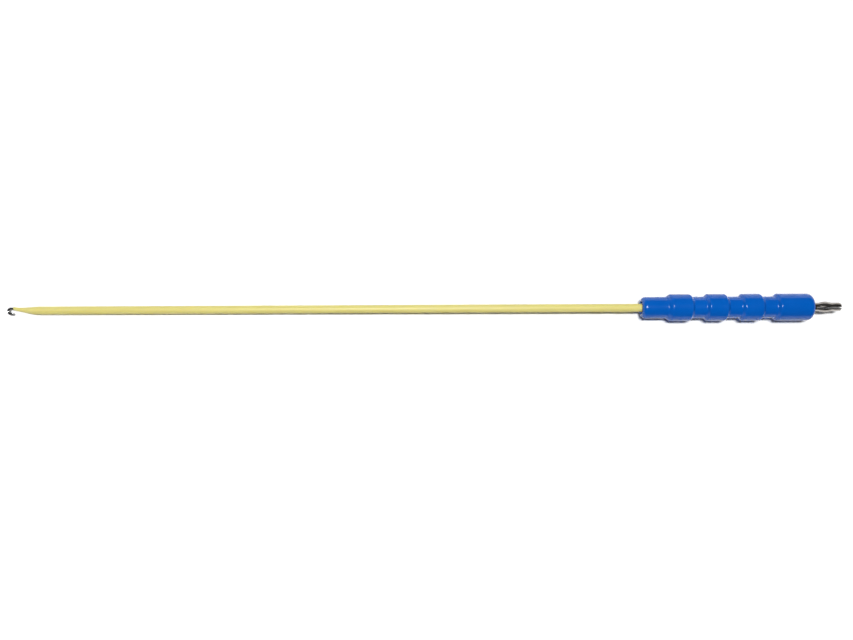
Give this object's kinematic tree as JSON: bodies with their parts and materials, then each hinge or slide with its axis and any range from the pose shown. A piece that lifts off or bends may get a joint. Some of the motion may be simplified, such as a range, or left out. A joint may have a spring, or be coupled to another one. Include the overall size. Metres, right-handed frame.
{
  "type": "laparoscopic hook electrode",
  "caption": "Monopolar hook electrode for keyhole surgery: J-shaped wire hook, long insulated rod, ribbed handle and a slotted spring plug for the cable.",
  "frame": {"origin": "on the rod's axis, at the plane of the handle's nose", "axes": "+X along the rod's axis from the hook to the plug; the hook lies in the XY plane with its wire on the +Y side of the axis; +Z towards the viewer of the picture, up from the table"},
  "size_m": [0.434, 0.014, 0.014],
  "materials": {
    "polished_steel": "polished",
    "yellow_insulation": "smooth, satin",
    "blue_plastic": "satin moulded",
    "nickel_plate": "nickel plated, worn",
    "brass": "turned",
    "screw_steel": "plain",
    "seal_rubber": "matte"
  },
  "bodies": {
    "instrument": {"hook_electrode": "polished_steel", "shaft_rod": "polished_steel", "insulation_sleeve": "yellow_insulation", "handle_grip": "blue_plastic", "nose_seal_ring": "seal_rubber", "rod_coupling": "brass", "coupling_grub_screws": "screw_steel", "lock_washer": "screw_steel", "plug_pin": "nickel_plate", "rear_bush": "blue_plastic", "rear_seal_ring": "seal_rubber"},
    "leaf_1": {"plug_leaf_1": "nickel_plate"},
    "leaf_2": {"plug_leaf_2": "nickel_plate"},
    "leaf_3": {"plug_leaf_3": "nickel_plate"},
    "leaf_4": {"plug_leaf_4": "nickel_plate"}
  },
  "joints": [
    {"name": "leaf_1_flex", "type": "hinge", "parent": "instrument", "child": "leaf_1", "pos_m": [0.0903, 0.00074, 0.00119], "axis": [0, 0.848, -0.5299], "range_deg": [0, 1.5], "stiffness_Nm_per_rad": 0.4},
    {"name": "leaf_2_flex", "type": "hinge", "parent": "instrument", "child": "leaf_2", "pos_m": [0.0903, -0.00119, 0.00074], "axis": [0, 0.5299, 0.848], "range_deg": [0, 1.5], "stiffness_Nm_per_rad": 0.4},
    {"name": "leaf_3_flex", "type": "hinge", "parent": "instrument", "child": "leaf_3", "pos_m": [0.0903, -0.00074, -0.00119], "axis": [0, -0.848, 0.5299], "range_deg": [0, 1.5], "stiffness_Nm_per_rad": 0.4},
    {"name": "leaf_4_flex", "type": "hinge", "parent": "instrument", "child": "leaf_4", "pos_m": [0.0903, 0.00119, -0.00074], "axis": [0, -0.5299, -0.848], "range_deg": [0, 1.5], "stiffness_Nm_per_rad": 0.4}
  ]
}
